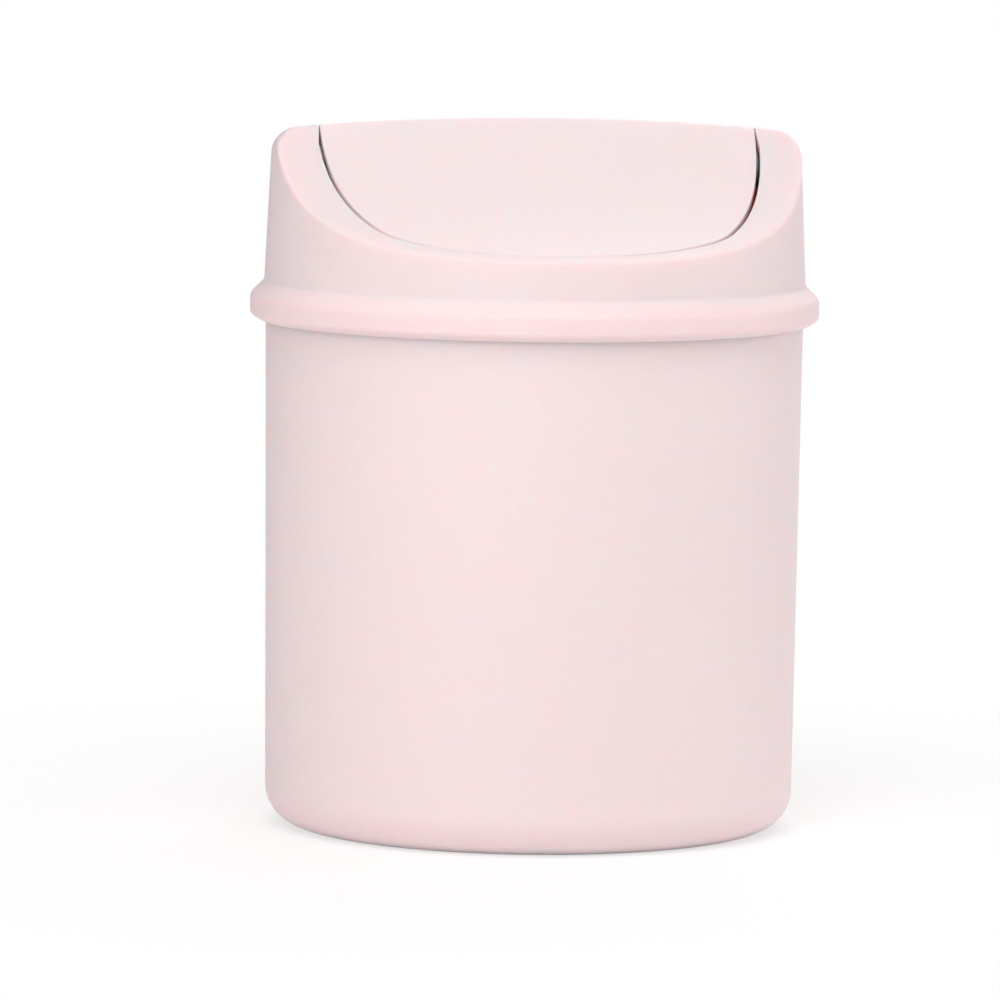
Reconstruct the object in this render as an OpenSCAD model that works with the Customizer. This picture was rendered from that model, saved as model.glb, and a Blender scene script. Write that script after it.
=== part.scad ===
// Small round countertop bin with a lift-off lid and a see-saw flap.
// Millimetres. Z is up, the origin is the centre of the foot, the front is -Y,
// and the flap turns about a line along X.

/* [Bin body] */
// Outside diameter of the bin at its mouth
bin_mouth_d = 123.8; // [118:0.1:128]
// Outside diameter of the bin just above its foot rounding
bin_foot_d = 121.8; // [100:0.1:123]
// Height of the mouth, where the lid sits down
bin_h = 121.6; // [80:0.1:180]
// Thickness of the bin's wall
bin_wall = 1.8; // [1.2:0.1:2.4]
// Thickness of the bin's floor
bin_floor = 2.2; // [1.2:0.1:4]
// Outside rounding between wall and floor
foot_round = 9; // [4:0.5:16]
// Small bevel on both edges of the mouth
mouth_bevel = 0.4; // [0.1:0.1:0.5]

/* [Lid rim] */
// How far the rim band stands out from the bin's wall
band_out = 3.6; // [2.5:0.1:5]
// How far the band reaches down over the bin
band_drop = 5.3; // [5:0.1:10]
// Height of the bevel under the band
band_bevel = 1.7; // [1:0.1:4]
// Height of the top edge of the band's upright face above the seat
band_face_top = 0.9; // [0:0.1:2]
// Height above the seat at which the band's slope meets the lid's wall
band_slope_top = 4.1; // [3.5:0.1:7]
// Radius of the hollow where the band's slope runs into the lid's wall
band_flare = 1.5; // [1:0.5:7]
// Clearance between the band and the outside of the bin's wall
band_fit = 0.6; // [0.3:0.05:1]
// How far the lid's wall stands out from the bin's wall
lid_step = 0.4; // [0.2:0.1:1.2]
// How deep the inner skirt goes into the bin
skirt_depth = 8; // [4:0.5:20]
// Thickness of the inner skirt
skirt_wall = 1.6; // [1.2:0.1:2.4]
// Thickness of the ledge that sits on the mouth
seat_ledge = 2; // [1.2:0.1:3]
// Clearance between the skirt and the inside of the bin's wall
lid_fit = 0.25; // [0.1:0.05:0.5]

/* [Lid shell] */
// Thickness of the lid's wall and roof
lid_wall = 2; // [1.4:0.1:2.4]
// Inward lean of the lid's wall, in degrees
lid_draft = 2.6; // [0:0.1:4]
// Height of the ridge above the seat
ridge_h = 41.9; // [38:0.1:48]
// Height of the roof's low edge, front and back, above the seat
eave_h = 12.7; // [10:0.1:16]
// Radius of the hollow curve of the roof, front to back
roof_r = 129; // [105:1:200]
// Rounding along the ridge
ridge_round = 4; // [3:0.1:7]
// Radius of the slight crown of the roof, side to side
crown_r = 660; // [500:1:2000]
// Rounding of the shoulders at the two ends of the ridge
shoulder_round = 6.5; // [4:0.1:8]

/* [Opening and flap] */
// Width of the opening along the hinge line
opening_w = 102.2; // [94:0.1:104]
// Length of the opening, front to back
opening_l = 114.8; // [110:0.1:116]
// Radius of the opening's two long side curves
opening_side_r = 76; // [66:0.5:80]
// How much the four corners between the curves are eased
corner_ease = 0.45; // [0.2:0.05:0.8]
// Radius of the easing curves
corner_r = 76; // [68:1:90]
// Gap between the flap and the edge of the opening
flap_gap = 0.85; // [0.7:0.05:1.6]
// Narrower gap at the hinge line, where the roof reaches in over the slits
hinge_gap = 0.35; // [0.3:0.05:0.6]
// Length of that narrower stretch along each slit
hinge_gap_l = 6; // [3:0.5:8]
// Length over which it widens again at each end
hinge_gap_taper = 5; // [3:0.5:8]
// Thickness of the flap
flap_wall = 1.8; // [1.2:0.1:2.4]
// Depth of the stiffening rib under the flap
rib_h = 3; // [1:0.5:4]
// Thickness of the stiffening rib
rib_wall = 1.6; // [1:0.1:2.4]
// Distance of the rib from the edge of the flap
rib_inset = 2.2; // [1.6:0.1:6]

/* [Hinge] */
// Depth of the hinge line below the ridge
hinge_drop = 11; // [9.5:0.1:14]
// Diameter of the flap's stub pins
pin_d = 5; // [3.5:0.1:6]
// Clearance around a pin in its hole
pin_fit = 0.08; // [0.03:0.01:0.1]
// Diameter of the collar at the root of each pin
collar_d = 8; // [7:0.1:10]
// Side play between a collar and its cheek
side_play = 0.3; // [0.2:0.05:0.6]
// Thickness of the lid's cheeks, which hold the pins
cheek_t = 2; // [1.4:0.1:3]
// How far the cheeks stand back from the sides of the opening
cheek_back = 0.3; // [0.1:0.1:1]
// Radius of the round lower end of a cheek
cheek_r = 5.5; // [4.5:0.1:7]
// How far a pin shows past its cheek
pin_past = 0.6; // [0:0.1:1.5]
// Bevel on a pin's tip
pin_bevel = 0.5; // [0.1:0.1:1]
// Thickness of the flap's ears, which carry the pins
ear_t = 2; // [1.4:0.1:3]
// Radius of the round lower end of an ear
ear_r = 5; // [4.2:0.1:6]
// Width of an ear at its root
ear_root_w = 18; // [12:0.5:24]

/* [Hidden] */
$fn = 180;
crown_fn = 720;
hollow_fn = 360;
flare_steps = 6;
// How far the cutting shapes reach past what they cut
cut = 1;
roof_margin = 4;

bin_r = bin_mouth_d / 2;
foot_r = bin_foot_d / 2;
bin_inner_r = bin_r - bin_wall;
inner_round = foot_round - bin_wall;

band_inner_r = bin_r + band_fit;
band_r = bin_r + band_out;
skirt_r = bin_inner_r - lid_fit;
skirt_inner_r = skirt_r - skirt_wall;
lid_r = bin_r + lid_step;

// The roof's section: a rounded ridge that runs tangent into a hollow arc,
// which ends at the eave. Points are [distance from the ridge, height].
ridge_centre = [0, ridge_h - ridge_round];
eave_point = [lid_r, eave_h];
span = norm(eave_point - ridge_centre);
along = (pow(roof_r + ridge_round, 2) - pow(roof_r, 2) + pow(span, 2)) / (2 * span);
across = sqrt(pow(roof_r + ridge_round, 2) - pow(along, 2));
chord = (eave_point - ridge_centre) / span;
arc_centre = ridge_centre + along * chord + across * [-chord[1], chord[0]];

// The shoulder's rounding touches the lid's leaning wall and the ridge's crown.
shoulder_slope = 10;
crest_drop = pow(lid_r - shoulder_round, 2) / (2 * crown_r);
shoulder_z = ridge_h - crest_drop - shoulder_round;
shoulder_x = lid_r - (shoulder_z - band_slope_top) * tan(lid_draft)
    - shoulder_round / cos(lid_draft);

roof_half_w = band_r + roof_margin;
crown_half_angle = asin(roof_half_w / (crown_r - ridge_h - skirt_depth));

hinge_z = ridge_h - hinge_drop;

// The opening is bounded by two long side arcs, struck from side_centre on the
// far side, by one circle for its front and back ends, and by four easing arcs
// in the directions where these meet.
side_centre = opening_side_r - opening_w / 2;
opening_end_r = opening_l / 2;
corner_x = (pow(opening_side_r, 2) - pow(side_centre, 2) - pow(opening_end_r, 2))
    / (2 * side_centre);
corner_angle = acos(corner_x / opening_end_r);
corner_centre = corner_r - opening_end_r + corner_ease;

cheek_x = opening_w / 2 + cheek_back;
collar_end = cheek_x - side_play;
// The ear stays inside the flap's curved edge over the ear's whole root.
ear_x = sqrt(pow(opening_side_r - flap_gap, 2) - pow(ear_root_w / 2, 2)) - side_centre;

function unit(v) = v / norm(v);

// Points of an arc of radius r in place of the corner between before and after.
function rounded(before, corner, after, r, steps) =
    let(
        back = unit(before - corner),
        ahead = unit(after - corner),
        half = acos(back * ahead) / 2,
        turn = 180 - 2 * half,
        centre = corner + unit(back + ahead) * r / sin(half),
        start = corner + back * r / tan(half) - centre,
        end = corner + ahead * r / tan(half) - centre
    )
    [for (k = [0:steps])
        centre + (start * sin(turn * (1 - k / steps)) + end * sin(turn * k / steps)) / sin(turn)];

// Solid under the roof, sunk by depth: 0 is the outer face, more is further inside.
module under_roof(depth) {
    translate([0, 0, ridge_h - crown_r])
        rotate([90, 0, 0])
            rotate([0, 0, 90 - crown_half_angle])
                rotate_extrude(angle = 2 * crown_half_angle, $fn = crown_fn)
                    translate([crown_r - ridge_h, 0])
                        mirror([1, -1]) roof_section(depth);
}

module roof_section(depth) {
    low = -skirt_depth - cut;
    join = ridge_centre
        + (ridge_round - depth) * (arc_centre - ridge_centre) / (roof_r + ridge_round);
    join_y = round(join[0] * 1000) / 1000;
    intersection() {
        translate(ridge_centre) circle(r = ridge_round - depth);
        translate([-join_y, ridge_centre[1]]) square([2 * join_y, ridge_round]);
    }
    translate([-join_y, low]) square([2 * join_y, ridge_centre[1] - low]);
    for (side = [0, 1]) mirror([side, 0]) difference() {
        translate([join_y, low]) square([roof_half_w - join_y, join[1] + cut - low]);
        translate(arc_centre) circle(r = roof_r + depth, $fn = hollow_fn);
    }
}

// Plan of the opening, drawn in by inset on every side.
module opening_plan(inset) {
    intersection() {
        circle(r = opening_end_r - inset);
        intersection_for(side = [-1, 1])
            translate([side * side_centre, 0]) circle(r = opening_side_r - inset);
        intersection_for(turn = [0, 180], flip = [-1, 1])
            rotate(turn + flip * corner_angle)
                translate([-corner_centre, 0]) circle(r = corner_r - inset);
    }
}

// Plan of the hole in the lid: the opening, less the two reaches over the slits.
module lid_hole_plan() {
    reach_x = opening_w / 2 - flap_gap + hinge_gap;
    half_l = hinge_gap_l / 2;
    difference() {
        opening_plan(0);
        for (side = [0, 1]) mirror([side, 0])
            polygon([
                [reach_x, -half_l], [reach_x, half_l],
                [opening_w / 2, half_l + hinge_gap_taper], [opening_w / 2 + cut, 0],
                [opening_w / 2, -half_l - hinge_gap_taper]
            ]);
    }
}

module bin_section_outer() {
    translate([foot_r - foot_round, foot_round]) circle(r = foot_round);
    polygon([
        [0, 0], [foot_r - foot_round, 0], [foot_r, foot_round],
        [bin_r, bin_h - mouth_bevel], [bin_r - mouth_bevel, bin_h], [0, bin_h]
    ]);
}

module bin_section_inner() {
    inner_foot_r = foot_r - bin_wall;
    translate([inner_foot_r - inner_round, bin_floor + inner_round]) circle(r = inner_round);
    polygon([
        [0, bin_floor], [inner_foot_r - inner_round, bin_floor],
        [inner_foot_r, bin_floor + inner_round],
        [bin_inner_r, bin_h - mouth_bevel], [bin_inner_r + mouth_bevel, bin_h],
        [bin_inner_r + mouth_bevel, bin_h + cut], [0, bin_h + cut]
    ]);
}

module bin_body() {
    color([0.96, 0.87, 0.86])
        rotate_extrude() intersection() {
            difference() {
                bin_section_outer();
                bin_section_inner();
            }
            square([bin_r + cut, bin_h + cut]);
        }
}

// Section of the lid as if it were solid, with the channel for the bin's mouth.
module lid_section_outer() {
    wall_top = [shoulder_x + shoulder_round * cos(lid_draft),
        shoulder_z + shoulder_round * sin(lid_draft)];
    cap = [shoulder_x + shoulder_round * sin(shoulder_slope),
        shoulder_z + shoulder_round * cos(shoulder_slope)];
    face_top = [band_r, band_face_top];
    polygon([
        [0, -skirt_depth], [skirt_r, -skirt_depth], [skirt_r, 0], [band_inner_r, 0],
        [band_inner_r, -band_drop], [band_r, band_bevel - band_drop], face_top,
        each rounded(face_top, [lid_r, band_slope_top], wall_top, band_flare, flare_steps),
        wall_top, cap, [0, cap[1] + cap[0] * tan(shoulder_slope)]
    ]);
    translate([shoulder_x, shoulder_z]) circle(r = shoulder_round);
}

module lid_section_inner() {
    inner_round_r = shoulder_round - lid_wall;
    wall_top = [shoulder_x + inner_round_r * cos(lid_draft),
        shoulder_z + inner_round_r * sin(lid_draft)];
    cap = [shoulder_x + inner_round_r * sin(shoulder_slope),
        shoulder_z + inner_round_r * cos(shoulder_slope)];
    foot_x = wall_top[0] + (wall_top[1] - seat_ledge) * tan(lid_draft);
    polygon([
        [0, -skirt_depth - cut], [skirt_inner_r, -skirt_depth - cut],
        [skirt_inner_r, seat_ledge], [foot_x, seat_ledge], wall_top, cap,
        [0, cap[1] + cap[0] * tan(shoulder_slope)]
    ]);
    translate([shoulder_x, shoulder_z]) circle(r = inner_round_r);
}

// A plate square to X that starts at x and hangs from the roof to the hinge line.
module hanger(x, thickness, end_r, root_w) {
    intersection() {
        translate([x, 0, hinge_z]) rotate([90, 0, 90]) linear_extrude(thickness) {
            circle(r = end_r);
            polygon([
                [-end_r, 0], [end_r, 0],
                [root_w / 2, hinge_drop], [-root_w / 2, hinge_drop]
            ]);
        }
        under_roof(min(lid_wall, flap_wall) / 2);
    }
}

module pin_hole() {
    translate([cheek_x - cut, 0, hinge_z]) rotate([0, 90, 0])
        cylinder(h = cheek_t + 2 * cut, r = pin_d / 2 + pin_fit);
}

module lid_frame() {
    color([0.96, 0.90, 0.90])
        translate([0, 0, bin_h]) difference() {
            union() {
                difference() {
                    intersection() {
                        rotate_extrude() lid_section_outer();
                        under_roof(0);
                    }
                    intersection() {
                        rotate_extrude() lid_section_inner();
                        under_roof(lid_wall);
                    }
                    translate([0, 0, seat_ledge + cut])
                        linear_extrude(ridge_h) lid_hole_plan();
                }
                for (side = [0, 1]) mirror([side, 0, 0])
                    hanger(cheek_x, cheek_t, cheek_r, 2 * cheek_r);
            }
            for (side = [0, 1]) mirror([side, 0, 0]) pin_hole();
        }
}

// Everything under the roof, from bottom up, within the plan drawn in by inset.
module roof_column(inset, depth, bottom) {
    intersection() {
        translate([0, 0, bottom]) linear_extrude(ridge_h - bottom + cut) opening_plan(inset);
        under_roof(depth);
    }
}

module flap_shell() {
    difference() {
        roof_column(flap_gap, 0, 0);
        roof_column(flap_gap - cut, flap_wall, -cut);
    }
}

module flap_rib() {
    rib_edge = flap_gap + rib_inset;
    difference() {
        roof_column(rib_edge, flap_wall / 2, 0);
        roof_column(rib_edge + rib_wall, 0, -cut);
        translate([0, 0, -rib_h]) roof_column(rib_edge - cut, flap_wall, -cut);
    }
}

module stub_pin() {
    translate([ear_x, 0, hinge_z]) rotate([0, 90, 0]) {
        cylinder(h = collar_end - ear_x, r = collar_d / 2);
        length = cheek_x + cheek_t + pin_past - ear_x;
        cylinder(h = length - pin_bevel, r = pin_d / 2);
        translate([0, 0, length - pin_bevel])
            cylinder(h = pin_bevel, r1 = pin_d / 2, r2 = pin_d / 2 - pin_bevel);
    }
}

module swing_flap() {
    color([0.96, 0.91, 0.91])
        translate([0, 0, bin_h]) {
            flap_shell();
            flap_rib();
            for (side = [0, 1]) mirror([side, 0, 0]) {
                hanger(ear_x - ear_t, ear_t, ear_r, ear_root_w);
                stub_pin();
            }
        }
}

bin_body();
lid_frame();
swing_flap();
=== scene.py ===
import math

import bmesh
import bpy
import numpy as np
from mathutils import Matrix, Vector


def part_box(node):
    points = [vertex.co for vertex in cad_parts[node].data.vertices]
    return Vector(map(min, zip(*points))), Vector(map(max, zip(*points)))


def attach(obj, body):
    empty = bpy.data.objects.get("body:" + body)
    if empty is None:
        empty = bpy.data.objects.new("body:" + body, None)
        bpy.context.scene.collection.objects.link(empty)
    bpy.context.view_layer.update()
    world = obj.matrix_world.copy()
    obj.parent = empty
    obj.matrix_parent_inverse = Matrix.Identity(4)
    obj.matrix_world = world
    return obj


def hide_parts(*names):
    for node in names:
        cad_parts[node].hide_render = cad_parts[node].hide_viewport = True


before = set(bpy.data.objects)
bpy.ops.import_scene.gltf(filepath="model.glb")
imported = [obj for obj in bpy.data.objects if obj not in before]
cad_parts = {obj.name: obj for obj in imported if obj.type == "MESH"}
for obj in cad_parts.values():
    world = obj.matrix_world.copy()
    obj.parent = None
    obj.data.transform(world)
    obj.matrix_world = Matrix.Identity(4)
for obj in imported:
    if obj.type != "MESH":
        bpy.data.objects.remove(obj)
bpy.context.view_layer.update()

# Lengths in this script are millimetres until a mesh is made; MM turns them into metres.
MM = 0.001
bin_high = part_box("bin_body")[1]
lid_low, lid_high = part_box("lid_frame")

# Sizes of the bin body.
BIN_R = bin_high[0] / MM
SEAT_Z = bin_high[2] / MM
FOOT_R = 60.9
FOOT_ROUND = 9.0
BIN_WALL = 1.8
BIN_FLOOR = 2.2
LIP_ROUND = 0.7
GATE_R = 4.0
GATE_DEEP = 0.3
GATE_SLOPE = 0.4
GATE_SOFT = 0.2

# Sizes of the lid's rim, heights counted from the seat.
LID_FIT = 0.25
BAND_FIT = 0.6
LID_STEP = 0.4
BAND_R = lid_high[0] / MM
BAND_DROP = 5.3
BAND_BEVEL = 1.7
BAND_FACE_TOP = 0.9
BAND_SLOPE_TOP = 4.1
BAND_FLARE = 1.5
BAND_EDGE_ROUND = 0.35
BAND_BEVEL_ROUND = 1.2
BAND_FACE_ROUND = 2.4
SKIRT_DEPTH = SEAT_Z - lid_low[2] / MM
SKIRT_WALL = 1.6
LEDGE = 2.0

# Sizes of the lid's shell and roof.
LID_WALL = 2.0
LID_DRAFT = math.radians(2.6)
RIDGE_H = 41.9
EAVE_H = 12.7
ROOF_R = 129.0
RIDGE_ROUND = 4.0
CROWN_R = 660.0
SHOULDER_ROUND = 6.5
SHOULDER_SLOPE = math.radians(10)

# Sizes of the opening, the flap and the hinge.
OPENING_W = 102.2
OPENING_L = 114.8
OPENING_SIDE_R = 76.0
CORNER_EASE = 0.45
CORNER_R = 76.0
FLAP_GAP = 0.85
HINGE_GAP = 0.35
HINGE_GAP_L = 6.0
HINGE_GAP_TAPER = 5.0
FLAP_WALL = 1.8
RIB_H = 3.0
RIB_WALL = 1.6
RIB_INSET = 2.2
HINGE_DROP = 11.0
PIN_R = 2.5
PIN_FIT = 0.08
COLLAR_R = 4.0
SIDE_PLAY = 0.3
CHEEK_T = 2.0
CHEEK_R = 5.5
CHEEK_BACK = 0.3
PIN_PAST = 0.6
PIN_BEVEL = 0.5
EAR_T = 2.0
EAR_R = 5.0
EAR_ROOT_W = 18.0

BAND_IN_R = BIN_R + BAND_FIT
LID_R = BIN_R + LID_STEP
SKIRT_R = BIN_R - BIN_WALL - LID_FIT
SKIRT_IN_R = SKIRT_R - SKIRT_WALL
CHANNEL_JOIN_Z = SEAT_Z - 1.0
RIDGE_Z = SEAT_Z + RIDGE_H
HINGE_Z = RIDGE_Z - HINGE_DROP
CHEEK_X = OPENING_W / 2 + CHEEK_BACK

# How finely the meshes are cut, and the angle from which an edge stays sharp.
BIN_STEPS = 384
BIN_PIECE = 6.0
LID_STEPS = 420
RIB_STEPS = 320
PIN_STEPS = 64
HANGER_STEPS = 24
FLAP_CELLS = 110
WELD = 1e-6
SHARP_ANGLE = math.radians(40)

# The plastic's sheen, and the studio: metres, and shares of full white.
ROUGH_LOW = 0.51
ROUGH_HIGH = 0.60
FLOOR_R = 12.0
FLOOR_STEPS = 96
FLOOR_COLOR = (0.93, 0.93, 0.93)
FADE_FROM = 0.07
FADE_TO = 0.28
GLOW_NEAR = 0.65
WORLD_LIGHT = 0.3
WORLD_COLOR = (1.0, 0.92, 0.92)
LAMP_SIZE = 0.9
LAMP_AWAY = 1.4
LAMP_AIM = 0.6


def roof_arc():
    """Centre of the roof's hollow arc, as (distance from the ridge, height)."""
    ridge = np.array([0.0, RIDGE_Z - RIDGE_ROUND])
    eave = np.array([LID_R, SEAT_Z + EAVE_H])
    span = np.linalg.norm(eave - ridge)
    along = ((ROOF_R + RIDGE_ROUND) ** 2 - ROOF_R**2 + span**2) / (2 * span)
    across = math.sqrt((ROOF_R + RIDGE_ROUND) ** 2 - along**2)
    chord = (eave - ridge) / span
    return ridge + along * chord + across * np.array([-chord[1], chord[0]])


ARC_Y, ARC_Z = roof_arc()
CROWN_Z = RIDGE_Z - CROWN_R


def roof_z(x, y, depth=0.0):
    """Height of the roof at x, y, sunk by depth."""
    x, y = np.asarray(x, float), np.abs(np.asarray(y, float))
    ridge_z = RIDGE_Z - RIDGE_ROUND
    round_r = RIDGE_ROUND - depth
    join = round_r * ARC_Y / (ROOF_R + RIDGE_ROUND)
    near = ridge_z + np.sqrt(np.maximum(round_r**2 - np.minimum(y, join) ** 2, 0))
    far = ARC_Z - np.sqrt((ROOF_R + depth) ** 2 - (ARC_Y - np.maximum(y, join)) ** 2)
    profile = np.where(y < join, near, far)
    return CROWN_Z + np.sqrt((profile - CROWN_Z) ** 2 - x**2)


def opening_radius(angle, inset=0.0):
    """Distance from the centre to the opening's edge in a direction, inset inward."""
    side_centre = OPENING_SIDE_R - OPENING_W / 2
    end_r = OPENING_L / 2
    corner_x = (OPENING_SIDE_R**2 - side_centre**2 - end_r**2) / (2 * side_centre)
    corner = math.acos(corner_x / end_r)
    circles = [(0.0, 0.0, end_r)]
    circles += [(s * side_centre, 0.0, OPENING_SIDE_R) for s in (-1, 1)]
    reach = CORNER_R - end_r + CORNER_EASE
    for turn in (corner, math.pi - corner, math.pi + corner, -corner):
        circles.append((-reach * math.cos(turn), -reach * math.sin(turn), CORNER_R))
    ux, uy = np.cos(angle), np.sin(angle)
    best = None
    for cx, cy, r in circles:
        dot = ux * cx + uy * cy
        reach_out = dot + np.sqrt(dot**2 - cx**2 - cy**2 + (r - inset) ** 2)
        best = reach_out if best is None else np.minimum(best, reach_out)
    return best


def smooth_outline(inset, samples=1440):
    """The opening's outline with its shallow corners run together, as a function."""
    angles = np.arange(samples) * 2 * math.pi / samples
    radius = opening_radius(angles, inset)
    width = samples // 60
    kernel = np.hanning(2 * width + 1)
    kernel /= kernel.sum()
    padded = np.concatenate([radius[-width:], radius, radius[:width]])
    radius = np.convolve(padded, kernel, "valid")
    return lambda a: np.interp(np.mod(a, 2 * math.pi), angles, radius, period=2 * math.pi)


def reach_radius(angle):
    """Distance to the edge of the two reaches that narrow the slits at the hinge line."""
    near_x = OPENING_W / 2 - FLAP_GAP + HINGE_GAP
    slope = (FLAP_GAP - HINGE_GAP) / HINGE_GAP_TAPER
    ux, uy = abs(math.cos(angle)), abs(math.sin(angle))
    if ux <= slope * uy + 0.1:
        return math.inf
    straight = near_x / ux
    tapered = (near_x - slope * HINGE_GAP_L / 2) / (ux - slope * uy)
    return max(straight, tapered)


def round_corners(points, radii, steps=6):
    """An open polyline with arcs in place of its inner corners."""
    out = [points[0]]
    for before, here, after, r in zip(points, points[1:], points[2:], radii[1:]):
        if r <= 0:
            out.append(here)
            continue
        a, b = np.subtract(before, here), np.subtract(after, here)
        a, b = a / np.linalg.norm(a), b / np.linalg.norm(b)
        half = math.acos(max(-1.0, min(1.0, float(a @ b)))) / 2
        centre = np.add(here, (a + b) / np.linalg.norm(a + b) * r / math.sin(half))
        start = np.add(here, a * r / math.tan(half)) - centre
        end = np.add(here, b * r / math.tan(half)) - centre
        sweep = math.pi - 2 * half
        for i in range(steps + 1):
            t = i / steps
            point = (math.sin((1 - t) * sweep) * start + math.sin(t * sweep) * end)
            out.append(tuple(centre + point / math.sin(sweep)))
    out.append(points[-1])
    return out


def resample(points, count):
    """count points evenly spaced along a polyline, both ends included."""
    points = np.asarray(points, float)
    steps = np.linalg.norm(np.diff(points, axis=0), axis=1)
    at = np.concatenate([[0], np.cumsum(steps)])
    want = np.linspace(0, at[-1], count)
    return np.stack([np.interp(want, at, points[:, k]) for k in (0, 1)], -1)


def trimmed(points, length):
    """A polyline with a length cut off its start."""
    points = np.asarray(points, float)
    steps = np.linalg.norm(np.diff(points, axis=0), axis=1)
    at = np.concatenate([[0], np.cumsum(steps)])
    first = [np.interp(length, at, points[:, k]) for k in (0, 1)]
    return np.vstack([[first], points[at > length + 1e-6]])


def blend_corner(leg_in, leg_out, reach, steps=6):
    """Joins two polylines that meet at a corner by a soft curve, reach mm each side."""
    back = trimmed(leg_in[::-1], reach)[::-1]
    ahead = trimmed(leg_out, reach)
    corner = np.asarray(leg_in[-1])
    t = np.linspace(0, 1, steps + 1)[1:-1, None]
    curve = (1 - t) ** 2 * back[-1] + 2 * t * (1 - t) * corner + t**2 * ahead[0]
    return np.vstack([back, curve]), ahead


def make_object(name, verts, faces, body, slot):
    """A mesh object from millimetres, smooth, riding on a body; the slot argument is not
    used.
    """
    mesh = bpy.data.meshes.new(name)
    mesh.from_pydata([tuple(v) for v in np.asarray(verts) * MM], [], faces)
    mesh.update()
    obj = bpy.data.objects.new(name, mesh)
    bpy.context.scene.collection.objects.link(obj)
    tidy_mesh(obj)
    if body:
        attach(obj, body)
    return obj


def tidy_mesh(obj):
    """Welds a mesh, turns its faces outward and shades it smooth up to SHARP_ANGLE."""
    work = bmesh.new()
    work.from_mesh(obj.data)
    bmesh.ops.remove_doubles(work, verts=work.verts, dist=WELD)
    bmesh.ops.dissolve_degenerate(work, edges=work.edges, dist=WELD / 10)
    bmesh.ops.recalc_face_normals(work, faces=work.faces)
    work.to_mesh(obj.data)
    work.free()
    obj.data.shade_smooth()
    obj.data.set_sharp_from_angle(angle=SHARP_ANGLE)


def ring_grid(sections):
    """Vertices and faces of a closed ring of closed sections, shape (n, m, 3)."""
    n, m, _ = sections.shape
    faces = []
    for i in range(n):
        j = (i + 1) % n
        for k in range(m):
            q = (k + 1) % m
            faces.append((i * m + k, j * m + k, j * m + q, i * m + q))
    return sections.reshape(-1, 3), faces


def lathe(section, count):
    """Turns an open (radius, height) section that starts and ends on the axis."""
    section = np.asarray(section, float)
    angles = np.arange(count) * 2 * math.pi / count
    inner = section[1:-1]
    verts = [(0, 0, section[0][1]), (0, 0, section[-1][1])]
    for a in angles:
        verts += [(r * math.cos(a), r * math.sin(a), z) for r, z in inner]
    m = len(inner)
    faces = []
    for i in range(count):
        a, b = 2 + i * m, 2 + (i + 1) % count * m
        faces.append((0, b, a))
        faces.append((1, a + m - 1, b + m - 1))
        faces += [(a + k, b + k, b + k + 1, a + k + 1) for k in range(m - 1)]
    return verts, faces


def joined(name, parts, body):
    """One mesh out of closed solids that overlap, united by exact booleans."""
    base, rest = parts[0], parts[1:]
    for other, operation in rest:
        modifier = base.modifiers.new("join", "BOOLEAN")
        modifier.operation = operation
        modifier.solver = "EXACT"
        modifier.object = other
    evaluated = base.evaluated_get(bpy.context.evaluated_depsgraph_get())
    mesh = bpy.data.meshes.new_from_object(evaluated)
    for old in [base] + [other for other, _ in rest]:
        bpy.data.objects.remove(old)
    obj = bpy.data.objects.new(name, mesh)
    bpy.context.scene.collection.objects.link(obj)
    tidy_mesh(obj)
    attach(obj, body)
    return obj


def plate(name, outline, x, thickness):
    """A flat plate square to X, from x outward, of an outline of (y, z) points."""
    count = len(outline)
    verts = [(x, y, z) for y, z in outline] + [(x + thickness, y, z) for y, z in outline]
    faces = [tuple(range(count)), tuple(range(2 * count - 1, count - 1, -1))]
    for k in range(count):
        q = (k + 1) % count
        faces.append((k, q, count + q, count + k))
    return make_object(name, verts, faces, None, None)


def hanger_outline(end_r, root_w, x, sink):
    """Outline of a plate that hangs from the roof and ends round at the hinge line."""
    outline = []
    for k in range(HANGER_STEPS + 1):
        a = math.pi * k / HANGER_STEPS
        outline.append((end_r * math.cos(a), HINGE_Z - end_r * math.sin(a)))
    for k in range(HANGER_STEPS + 1):
        y = -root_w / 2 + root_w * k / HANGER_STEPS
        outline.append((y, float(roof_z(x, y, sink))))
    return outline


def cylinder_x(name, x0, x1, stations):
    """A round solid along X on the hinge line; stations are (x, radius) pairs."""
    section = [(0, x0)] + [(r, x) for x, r in stations] + [(0, x1)]
    verts, faces = lathe(section, PIN_STEPS)
    verts = [(h, a, HINGE_Z + b) for a, b, h in verts]
    return make_object(name, verts, faces, None, None)


def build_bin():
    """The bucket: a lathed shell with a rounded foot, a rounded lip and a gate mark."""
    foot_in = FOOT_R - BIN_WALL
    wall_foot = FOOT_ROUND + 0.1
    outline = round_corners(
        [(0, GATE_DEEP), (GATE_R, GATE_DEEP), (GATE_R + GATE_SLOPE, 0), (FOOT_R, 0),
         (FOOT_R, wall_foot), (BIN_R, SEAT_Z), (BIN_R - BIN_WALL, SEAT_Z),
         (foot_in, BIN_FLOOR + FOOT_ROUND), (foot_in, BIN_FLOOR), (0, BIN_FLOOR)],
        [0, GATE_SOFT, GATE_SOFT, FOOT_ROUND, 0, LIP_ROUND, LIP_ROUND, 0,
         FOOT_ROUND - BIN_WALL, 0],
        steps=14)
    section = []
    for a, b in zip(outline, outline[1:]):
        step = np.subtract(b, a)
        pieces = max(1, int(np.linalg.norm(step) / BIN_PIECE))
        section += [tuple(np.add(a, step * k / pieces)) for k in range(pieces)]
    section.append(outline[-1])
    verts, faces = lathe(section, BIN_STEPS)
    obj = make_object("bucket_shell", verts, faces, "bin", "bin_plastic")
    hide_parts("bin_body")
    return obj


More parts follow.
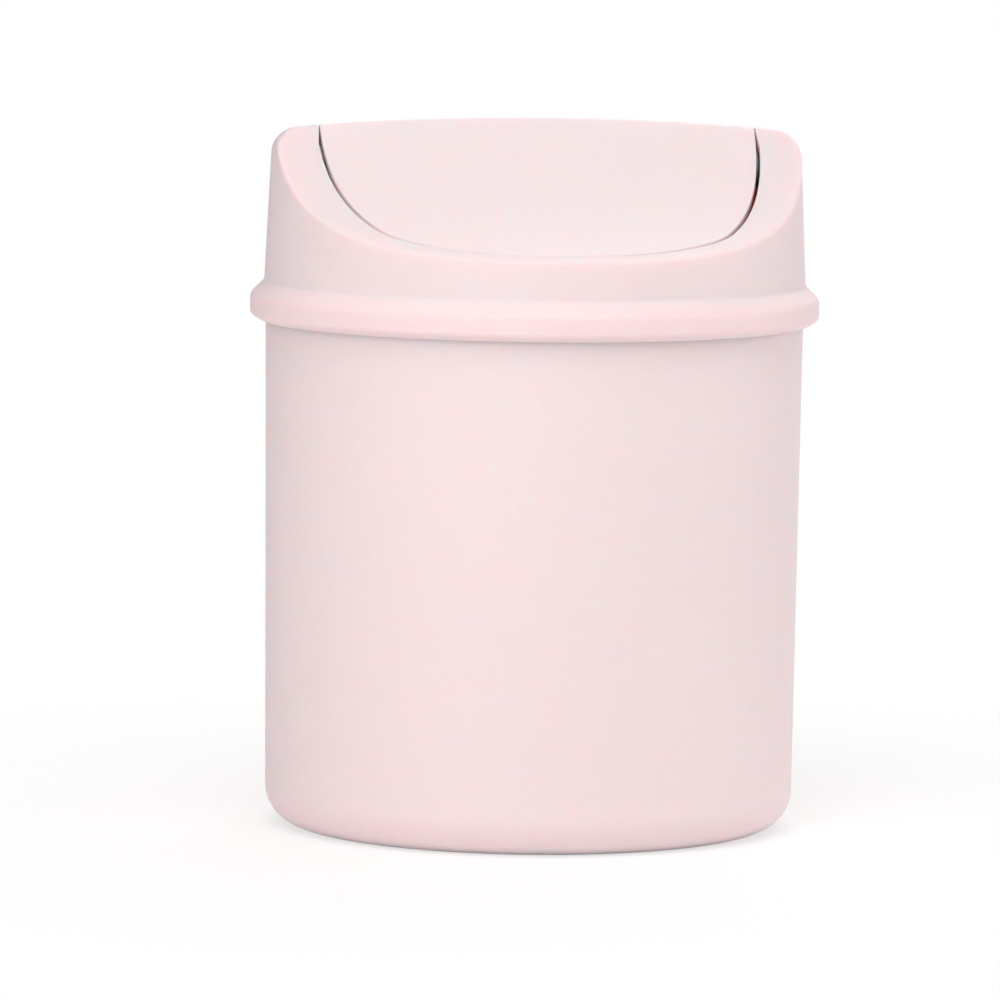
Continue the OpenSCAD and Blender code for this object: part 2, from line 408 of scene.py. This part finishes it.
def shoulder_centre():
    """Centre of the shoulder's rounding, as (radius, height)."""
    crest_drop = (LID_R - SHOULDER_ROUND) ** 2 / (2 * CROWN_R)
    z = RIDGE_Z - crest_drop - SHOULDER_ROUND
    lean = (z - SEAT_Z - BAND_SLOPE_TOP) * math.tan(LID_DRAFT)
    return LID_R - lean - SHOULDER_ROUND / math.cos(LID_DRAFT), z


def lid_wall_section(depth):
    """The lid's wall and shoulder from the bottom up, sunk by depth, as (r, z)."""
    arc_steps, flat_end, samples = 40, 20.0, 900
    cx, cz = shoulder_centre()
    r = SHOULDER_ROUND - depth
    low = SEAT_Z + (LEDGE if depth else BAND_SLOPE_TOP)
    top = (cx + r * math.cos(LID_DRAFT), cz + r * math.sin(LID_DRAFT))
    points = [(top[0] + (top[1] - low) * math.tan(LID_DRAFT), low)]
    for a in np.linspace(LID_DRAFT, math.pi / 2 - SHOULDER_SLOPE, arc_steps):
        points.append((cx + r * math.cos(a), cz + r * math.sin(a)))
    end = points[-1]
    points.append((flat_end, end[1] + (end[0] - flat_end) * math.tan(SHOULDER_SLOPE)))
    return resample(points, samples)


def meet_roof(wall, angle, depth):
    """The part of a wall section under the roof in one direction, up to the roof."""
    c, s = math.cos(angle), math.sin(angle)
    over = wall[:, 1] - roof_z(wall[:, 0] * c, wall[:, 0] * s, depth)
    first = int(np.argmax(over > 0))
    t = over[first - 1] / (over[first - 1] - over[first])
    corner = wall[first - 1] + t * (wall[first] - wall[first - 1])
    return np.vstack([wall[:first], [corner]])


def roof_run(angle, r_from, r_to, depth, count):
    """Points along the roof in one direction, from one radius to another."""
    r = np.linspace(r_from, r_to, count)
    z = roof_z(r * math.cos(angle), r * math.sin(angle), depth)
    return np.stack([r, z], -1)


def lid_angles(count):
    """Directions round the lid, closer together where the ridge meets the shoulders."""
    even = np.arange(count) * 2 * math.pi / count
    return even - 0.35 * np.sin(2 * even)


def band_section(outer_wall):
    """The band from inside its lower edge to the foot of the lid's wall, as (r, z)."""
    up_the_wall = tuple(outer_wall[60])
    corners = [
        (BAND_IN_R, CHANNEL_JOIN_Z), (BAND_IN_R, SEAT_Z - BAND_DROP),
        (BAND_R, SEAT_Z - BAND_DROP + BAND_BEVEL), (BAND_R, SEAT_Z + BAND_FACE_TOP),
        (LID_R, SEAT_Z + BAND_SLOPE_TOP), up_the_wall]
    radii = [0, BAND_EDGE_ROUND, BAND_BEVEL_ROUND, BAND_FACE_ROUND, BAND_FLARE]
    return round_corners(corners, radii, steps=8)[:-1]


def channel_section(inner_wall):
    """From the inner wall's foot over the ledge and skirt into the channel, as (r, z)."""
    ledge_round, skirt_round, root_round, channel_round = 0.6, 0.5, 0.3, 0.2
    up_the_wall = tuple(inner_wall[30])
    corners = [
        up_the_wall, tuple(inner_wall[0]), (SKIRT_IN_R, SEAT_Z + LEDGE),
        (SKIRT_IN_R, SEAT_Z - SKIRT_DEPTH), (SKIRT_R, SEAT_Z - SKIRT_DEPTH),
        (SKIRT_R, SEAT_Z), (BAND_IN_R, SEAT_Z), (BAND_IN_R, CHANNEL_JOIN_Z)]
    radii = [0, ledge_round] + [skirt_round] * 3 + [root_round, channel_round]
    return round_corners(corners, radii, steps=4)[1:-1]


def build_lid_shell():
    """The lid frame without its cheeks: one closed section carried round the lid."""
    edge_reach, rim_reach, inner_reach = 0.8, 0.35, 1.0
    clear = 0.05
    outer_wall, inner_wall = lid_wall_section(0), lid_wall_section(LID_WALL)
    opening = smooth_outline(0.0)
    band, channel = band_section(outer_wall), channel_section(inner_wall)
    outer_wall = outer_wall[outer_wall[:, 1] > band[-1][1] + clear]
    inner_wall = inner_wall[inner_wall[:, 1] > channel[0][1] + clear]
    sections = []
    for angle in lid_angles(LID_STEPS):
        edge = min(float(opening(angle)), reach_radius(angle))
        wall = meet_roof(outer_wall, angle, 0)
        roof = roof_run(angle, wall[-1][0], edge, 0, 60)
        wall, roof = blend_corner(wall, roof, edge_reach, 8)
        x, y = edge * math.cos(angle), edge * math.sin(angle)
        side = np.array([roof[-1], [edge, roof_z(x, y, LID_WALL)]])
        under = meet_roof(inner_wall, angle, LID_WALL)
        below = roof_run(angle, edge, under[-1][0], LID_WALL, 40)
        roof, side = blend_corner(roof, side, rim_reach, 5)
        side, below = blend_corner(side, below, rim_reach, 5)
        under = under[::-1]
        below, under = blend_corner(below, under, inner_reach, 5)
        section = np.vstack([
            band, resample(wall, 46), resample(roof, 30)[1:], side[1:],
            resample(below, 14)[1:], resample(under, 24)[1:], channel])
        x = section[:, 0] * math.cos(angle)
        y = section[:, 0] * math.sin(angle)
        sections.append(np.stack([x, y, section[:, 1]], -1))
    return ring_grid(np.array(sections))


def build_lid():
    """The lid frame: its shell with two bored cheeks that hang under the shoulders."""
    verts, faces = build_lid_shell()
    shell = make_object("lid_ring", verts, faces, None, None)
    parts = [shell]
    for side in (-1, 1):
        outline = hanger_outline(CHEEK_R, 2 * CHEEK_R, CHEEK_X + CHEEK_T, LID_WALL / 2)
        cheek = plate("cheek", outline, side * CHEEK_X, side * CHEEK_T)
        parts.append((cheek, "UNION"))
    hole_r, cut = PIN_R + PIN_FIT, 0.4
    for side in (-1, 1):
        near, far = side * (CHEEK_X - cut), side * (CHEEK_X + CHEEK_T + cut)
        hole = cylinder_x("hole", near, far, [(near, hole_r), (far, hole_r)])
        parts.append((hole, "DIFFERENCE"))
    obj = joined("lid_shell", parts, "lid")
    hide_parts("lid_frame")
    return obj


def disc_grid(count):
    """A square grid pressed into a disc: angles and shares of the radius."""
    closeness = 1.25  # above 1, the rows lie closer together at the ridge
    t = np.linspace(-1, 1, count + 1)
    u, v = np.meshgrid(t, np.sign(t) * np.abs(t) ** closeness, indexing="ij")
    x, y = u * np.sqrt(1 - v**2 / 2), v * np.sqrt(1 - u**2 / 2)
    return np.arctan2(y, x), np.hypot(x, y)


def grid_edge(count):
    """Indices of a square grid's boundary vertices, once round."""
    n = count
    edge = [(i, 0) for i in range(n)] + [(n, j) for j in range(n)]
    edge += [(i, n) for i in range(n, 0, -1)] + [(0, j) for j in range(n, 0, -1)]
    return [i * (n + 1) + j for i, j in edge]


def build_flap_shell():
    """The flap's saddle: two faces FLAP_WALL apart, joined by a rounded rim."""
    count, rim_r, rim_steps = FLAP_CELLS, 0.3, 5
    top_edge = smooth_outline(FLAP_GAP)
    angle, share = disc_grid(count)
    flat_edge = smooth_outline(FLAP_GAP + rim_r)
    r = share * flat_edge(angle)
    x, y = r * np.cos(angle), r * np.sin(angle)
    top = np.stack([x, y, roof_z(x, y)], -1).reshape(-1, 3)
    bottom = np.stack([x, y, roof_z(x, y, FLAP_WALL)], -1).reshape(-1, 3)
    ring = grid_edge(count)
    around = angle.reshape(-1)[ring]
    edge = top_edge(around)
    ux, uy = np.cos(around), np.sin(around)
    rows = [top[ring]]
    upper = roof_z(edge * ux, edge * uy)
    lower = roof_z(edge * ux, edge * uy, FLAP_WALL)
    for k in range(1, rim_steps + 1):
        a = math.pi / 2 * k / rim_steps
        out, down = rim_r * (1 - math.sin(a)), rim_r * (1 - math.cos(a))
        rr = edge - out
        rows.append(np.stack([rr * ux, rr * uy, roof_z(rr * ux, rr * uy) - down], -1))
    for k in range(rim_steps, 0, -1):
        a = math.pi / 2 * k / rim_steps
        out, up = rim_r * (1 - math.sin(a)), rim_r * (1 - math.cos(a))
        rr = edge - out
        base = roof_z(rr * ux, rr * uy, FLAP_WALL)
        rows.append(np.stack([rr * ux, rr * uy, base + up], -1))
    n = (count + 1) ** 2
    m = len(ring)
    verts = np.vstack([top, bottom] + rows[1:])
    faces = []
    for i in range(count):
        for j in range(count):
            a = i * (count + 1) + j
            quad = (a, a + count + 1, a + count + 2, a + 1)
            faces.append(quad)
            faces.append(tuple(q + n for q in quad[::-1]))
    loops = [ring] + [[2 * n + k * m + i for i in range(m)] for k in range(len(rows) - 1)]
    loops.append([q + n for q in ring])
    for upper_loop, lower_loop in zip(loops, loops[1:]):
        for i in range(m):
            j = (i + 1) % m
            faces.append((upper_loop[i], lower_loop[i], lower_loop[j], upper_loop[j]))
    return verts, faces


def build_flap_rib():
    """The stiffening rib: a ring that follows the flap's edge on its underside."""
    angles = lid_angles(RIB_STEPS)
    outer = smooth_outline(FLAP_GAP + RIB_INSET)(angles)
    inner = smooth_outline(FLAP_GAP + RIB_INSET + RIB_WALL)(angles)
    ux, uy = np.cos(angles), np.sin(angles)
    soft = 0.4
    stations = [(outer, -1), (outer, soft), (outer - soft, 0), (inner + soft, 0),
                (inner, soft), (inner, -1)]
    columns = []
    for radius, lift in stations:
        x, y = radius * ux, radius * uy
        z = roof_z(x, y, FLAP_WALL / 2)
        if lift >= 0:
            z = roof_z(x, y, FLAP_WALL) - RIB_H + lift
        columns.append(np.stack([x, y, z], -1))
    return ring_grid(np.stack(columns, 1))


def build_flap():
    """The swing flap: saddle, rib, and an ear with collar and pin at each end."""
    parts = [make_object("saddle", *build_flap_shell(), None, None)]
    parts.append((make_object("rib", *build_flap_rib(), None, None), "UNION"))
    side_centre = OPENING_SIDE_R - OPENING_W / 2
    half_root = EAR_ROOT_W / 2
    ear_x = math.sqrt((OPENING_SIDE_R - FLAP_GAP) ** 2 - half_root**2) - side_centre
    collar_end = CHEEK_X - SIDE_PLAY
    collar_bevel, overlap = 0.3, 0.6
    tip = CHEEK_X + CHEEK_T + PIN_PAST
    for side in (-1, 1):
        outline = hanger_outline(EAR_R, EAR_ROOT_W, ear_x, FLAP_WALL / 2)
        ear = plate("ear", outline, side * (ear_x - EAR_T), side * EAR_T)
        parts.append((ear, "UNION"))
        root = side * (ear_x - overlap)
        stations = [
            (root, COLLAR_R), (side * (collar_end - collar_bevel), COLLAR_R),
            (side * collar_end, COLLAR_R - collar_bevel), (side * collar_end, PIN_R),
            (side * (tip - PIN_BEVEL), PIN_R), (side * tip, PIN_R - PIN_BEVEL)]
        pin = cylinder_x("pin", root, side * tip, stations)
        parts.append((pin, "UNION"))
    obj = joined("flap_saddle", parts, "flap")
    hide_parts("swing_flap")
    return obj


def noise(nodes, links, place, scale, detail):
    """A noise in the object's own coordinates; returns its value socket."""
    node = nodes.new("ShaderNodeTexNoise")
    node.inputs["Scale"].default_value = scale
    node.inputs["Detail"].default_value = detail
    links.new(place.outputs["Object"], node.inputs["Vector"])
    return node.outputs["Fac"]


def bump(nodes, links, height, strength, distance):
    """A bump of a height value, distance in metres."""
    node = nodes.new("ShaderNodeBump")
    node.inputs["Strength"].default_value = strength
    node.inputs["Distance"].default_value = distance
    links.new(height, node.inputs["Height"])
    return node


def plastic(name, color, tint):
    """Satin moulded plastic: faint mottling, fine grain and a soft inner glow."""
    material = bpy.data.materials.new(name)
    material.use_nodes = True
    nodes, links = material.node_tree.nodes, material.node_tree.links
    shader = nodes["Principled BSDF"]
    place = nodes.new("ShaderNodeTexCoord")

    tone = nodes.new("ShaderNodeMix")
    tone.data_type = "RGBA"
    tone.inputs["A"].default_value = (*color, 1)
    tone.inputs["B"].default_value = (*tint, 1)
    links.new(noise(nodes, links, place, 22, 4), tone.inputs["Factor"])
    links.new(tone.outputs["Result"], shader.inputs["Base Color"])

    rough = nodes.new("ShaderNodeMapRange")
    rough.inputs["To Min"].default_value = ROUGH_LOW
    rough.inputs["To Max"].default_value = ROUGH_HIGH
    links.new(noise(nodes, links, place, 60, 5), rough.inputs["Value"])
    links.new(rough.outputs["Result"], shader.inputs["Roughness"])

    grain = bump(nodes, links, noise(nodes, links, place, 2600, 2), 0.12, 0.00005)
    waves = bump(nodes, links, noise(nodes, links, place, 35, 1), 0.10, 0.0004)
    links.new(grain.outputs["Normal"], waves.inputs["Normal"])
    links.new(waves.outputs["Normal"], shader.inputs["Normal"])

    shader.inputs["Subsurface Weight"].default_value = 0.9
    shader.inputs["Subsurface Radius"].default_value = (1.0, 0.2, 0.18)
    shader.inputs["Subsurface Scale"].default_value = 0.004
    shader.inputs["Specular IOR Level"].default_value = 0.35
    shader.inputs["IOR"].default_value = 1.49
    return material


def paint(obj, material):
    obj.data.materials.clear()
    obj.data.materials.append(material)


def build_floor():
    """A wide pale floor that keeps the object's shadow near it and is white beyond."""
    work = bmesh.new()
    bmesh.ops.create_circle(work, cap_ends=True, segments=FLOOR_STEPS, radius=FLOOR_R)
    mesh = bpy.data.meshes.new("floor")
    work.to_mesh(mesh)
    work.free()
    floor = bpy.data.objects.new("floor", mesh)
    bpy.context.scene.collection.objects.link(floor)
    paint(floor, floor_white())


def floor_white():
    """Matt near the object, self-lit further out to the camera and to reflections."""
    material = bpy.data.materials.new("floor_white")
    material.use_nodes = True
    nodes, links = material.node_tree.nodes, material.node_tree.links
    nodes.remove(nodes["Principled BSDF"])
    out = nodes["Material Output"]
    matt = nodes.new("ShaderNodeBsdfDiffuse")
    matt.inputs["Color"].default_value = (*FLOOR_COLOR, 1)
    glow = nodes.new("ShaderNodeEmission")
    path = nodes.new("ShaderNodeLightPath")
    seen = nodes.new("ShaderNodeMath")
    seen.operation = "MAXIMUM"
    links.new(path.outputs["Is Camera Ray"], seen.inputs[0])
    links.new(path.outputs["Is Glossy Ray"], seen.inputs[1])
    place = nodes.new("ShaderNodeNewGeometry")
    reach = nodes.new("ShaderNodeVectorMath")
    reach.operation = "LENGTH"
    links.new(place.outputs["Position"], reach.inputs[0])
    fade = nodes.new("ShaderNodeMapRange")
    fade.interpolation_type = "SMOOTHSTEP"
    fade.inputs["From Min"].default_value = FADE_FROM
    fade.inputs["From Max"].default_value = FADE_TO
    fade.inputs["To Min"].default_value = GLOW_NEAR
    fade.inputs["To Max"].default_value = 1.0
    links.new(reach.outputs["Value"], fade.inputs["Value"])
    share = nodes.new("ShaderNodeMath")
    share.operation = "MULTIPLY"
    links.new(seen.outputs["Value"], share.inputs[0])
    links.new(fade.outputs["Result"], share.inputs[1])
    mix = nodes.new("ShaderNodeMixShader")
    links.new(share.outputs["Value"], mix.inputs["Fac"])
    links.new(matt.outputs["BSDF"], mix.inputs[1])
    links.new(glow.outputs["Emission"], mix.inputs[2])
    links.new(mix.outputs["Shader"], out.inputs["Surface"])
    return material


def build_world():
    """White to the camera, a dim and slightly pink light to everything else."""
    world = bpy.data.worlds.new("studio")
    bpy.context.scene.world = world
    world.use_nodes = True
    nodes, links = world.node_tree.nodes, world.node_tree.links
    seen = nodes["Background"]
    seen.inputs["Color"].default_value = (1, 1, 1, 1)
    light = nodes.new("ShaderNodeBackground")
    light.inputs["Color"].default_value = (*WORLD_COLOR, 1)
    light.inputs["Strength"].default_value = WORLD_LIGHT
    path = nodes.new("ShaderNodeLightPath")
    mix = nodes.new("ShaderNodeMixShader")
    links.new(path.outputs["Is Camera Ray"], mix.inputs["Fac"])
    links.new(light.outputs["Background"], mix.inputs[1])
    links.new(seen.outputs["Background"], mix.inputs[2])
    links.new(mix.outputs["Shader"], nodes["World Output"].inputs["Surface"])


def area_lamp(name, azimuth, elevation, power, color):
    """A square softbox aimed at the bin; azimuth 0 is the front, positive is right."""
    data = bpy.data.lights.new(name, "AREA")
    data.shape = "SQUARE"
    data.size = LAMP_SIZE
    data.energy = power
    data.color = color
    lamp = bpy.data.objects.new(name, data)
    bpy.context.scene.collection.objects.link(lamp)
    a, e = math.radians(azimuth), math.radians(elevation)
    aim = Vector((0, 0, SEAT_Z * LAMP_AIM * MM))
    away = Vector((math.sin(a) * math.cos(e), -math.cos(a) * math.cos(e), math.sin(e)))
    lamp.location = aim + away * LAMP_AWAY
    lamp.rotation_euler = away.to_track_quat("Z", "Y").to_euler()


# The camera, as fitted to the photograph: it stands CAMERA_AWAY in front of the bin,
# turned by LID_TURN to the left of the bin's own front, and is rolled a little.
LID_TURN = math.radians(7.2)
CAMERA_AWAY = 1844.9
CAMERA_HEIGHT = 254.0
AIM_SIDE = -7.37
AIM_HEIGHT = 75.1
CAMERA_ROLL = 0.013
FOCAL_PIXELS = 8028.3
PHOTO_PIXELS = 1000
SENSOR = 36.0


def build_camera():
    """The camera that sees the bin as the photograph does."""
    data = bpy.data.cameras.new("camera")
    data.sensor_width = SENSOR
    data.lens = FOCAL_PIXELS / PHOTO_PIXELS * SENSOR
    camera = bpy.data.objects.new("camera", data)
    bpy.context.scene.collection.objects.link(camera)
    turn = Matrix.Rotation(-LID_TURN, 3, "Z")
    place = turn @ Vector((0, -CAMERA_AWAY, CAMERA_HEIGHT))
    aim = turn @ Vector((AIM_SIDE, 0, AIM_HEIGHT))
    ahead = (aim - place).normalized()
    level = ahead.cross(Vector((0, 0, 1))).normalized()
    upright = level.cross(ahead)
    c, s = math.cos(CAMERA_ROLL), math.sin(CAMERA_ROLL)
    right, up = c * level + s * upright, c * upright - s * level
    axes = Matrix((right, up, -ahead)).transposed()
    camera.matrix_world = Matrix.Translation(place * MM) @ axes.to_4x4()
    data.clip_start, data.clip_end = 0.01, 100
    bpy.context.scene.camera = camera


def build_lamps():
    """Four soft lamps from the front, above and the left, one right and one behind."""
    area_lamp("key", -20, 45, 5.4, (1.0, 1.0, 1.0))
    area_lamp("front", -24, 18, 5.3, (1.0, 1.0, 1.0))
    area_lamp("top", 0, 60, 6.6, (1.0, 1.0, 1.0))
    area_lamp("left", -80, 30, 1.0, (1.0, 0.70, 0.72))
    area_lamp("side", 95, 12, 6.2, (1.0, 0.95, 0.96))
    area_lamp("back", 160, 35, 6.5, (1.0, 0.99, 0.99))


build_camera()
bin_shell = build_bin()
lid_shell = build_lid()
flap_shell = build_flap()
# Painted light and shade: the bin, lid and flap are one plastic, given three colours; the
# flap's is lighter where it faces up to the light, the lid's darker.
paint(bin_shell, plastic("bin_pink", (0.86, 0.68, 0.69), (0.88, 0.70, 0.71)))
paint(lid_shell, plastic("lid_pink", (0.80, 0.665, 0.675), (0.82, 0.685, 0.695)))
paint(flap_shell, plastic("flap_pink", (0.835, 0.68, 0.69), (0.855, 0.70, 0.71)))
build_floor()
build_world()
build_lamps()
bpy.context.scene.view_settings.view_transform = "Standard"
